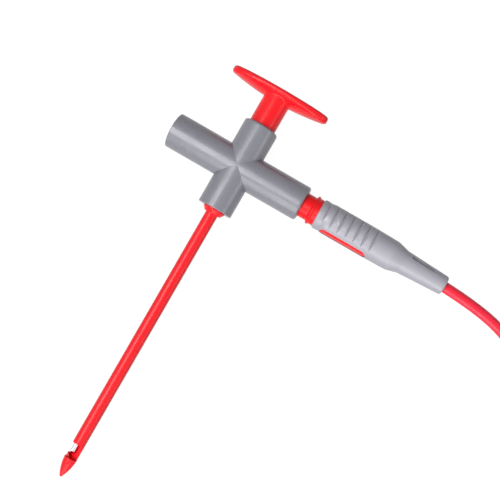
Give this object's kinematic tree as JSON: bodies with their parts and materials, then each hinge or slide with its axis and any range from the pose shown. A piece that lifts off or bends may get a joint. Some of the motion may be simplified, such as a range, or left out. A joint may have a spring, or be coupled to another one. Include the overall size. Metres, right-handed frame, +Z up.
{
  "type": "insulation-piercing test clip with lead",
  "caption": "Cross-shaped plunger test clip whose hook tube draws a wire onto a fixed needle, with a shrouded plug and silicone test lead in its side socket.",
  "frame": {"origin": "on the table, under the middle of the clip's own box (the lead and its plugs not counted)", "axes": "+Y along the plunger from the hook's tip towards the thumb pad, +X along the finger arms towards the socket, +Z up from the table"},
  "size_m": [0.2537, 0.199, 0.0145],
  "materials": {
    "body_grey": "satin moulded glass-filled nylon",
    "grip_grey": "soft matt over-moulding",
    "probe_red": "semi-gloss moulded nylon",
    "plug_red": "semi-gloss moulded nylon",
    "lead_red": "satin silicone",
    "needle_steel": "polished",
    "spring_steel": "drawn wire",
    "contact_brass": "turned",
    "plated_contact": "nickel plate",
    "bare_copper": "stranded, tinned off",
    "tie_black": "hook-and-loop strap"
  },
  "bodies": {
    "housing": {"cross_body": "body_grey", "arm_end_cap": "body_grey", "socket_contact": "contact_brass", "socket_sleeve": "probe_red", "stud_washer": "spring_steel", "stud_nut": "contact_brass", "contact_block": "contact_brass", "piercing_needle": "needle_steel", "spring_seat": "contact_brass", "return_spring": "spring_steel"},
    "plunger": {"thumb_plunger": "probe_red", "hook_tube": "probe_red", "coupling_pins": "spring_steel"},
    "lead": {"lead_near": "lead_red", "lead_coil": "lead_red", "coil_ties": "tie_black", "lead_tail": "lead_red", "lead_conductor_ends": "bare_copper", "near_plug_body": "plug_red", "near_plug_grip": "grip_grey", "near_plug_contact": "plated_contact", "near_plug_lantern_spring": "plated_contact", "far_plug_body": "plug_red", "far_plug_grip": "grip_grey", "far_plug_contact": "plated_contact", "far_plug_lantern_spring": "plated_contact"}
  },
  "joints": [
    {"name": "plunger_press", "type": "slide", "parent": "housing", "child": "plunger", "axis": [0, -1, 0], "range_m": [0, 0.008], "stiffness_N_per_m": 350, "springref_m": -0.009, "deforming": ["return_spring"]},
    {"name": "lead_unplug", "type": "slide", "parent": "housing", "child": "lead", "axis": [1, 0, 0], "range_m": [0, 0.022]}
  ]
}
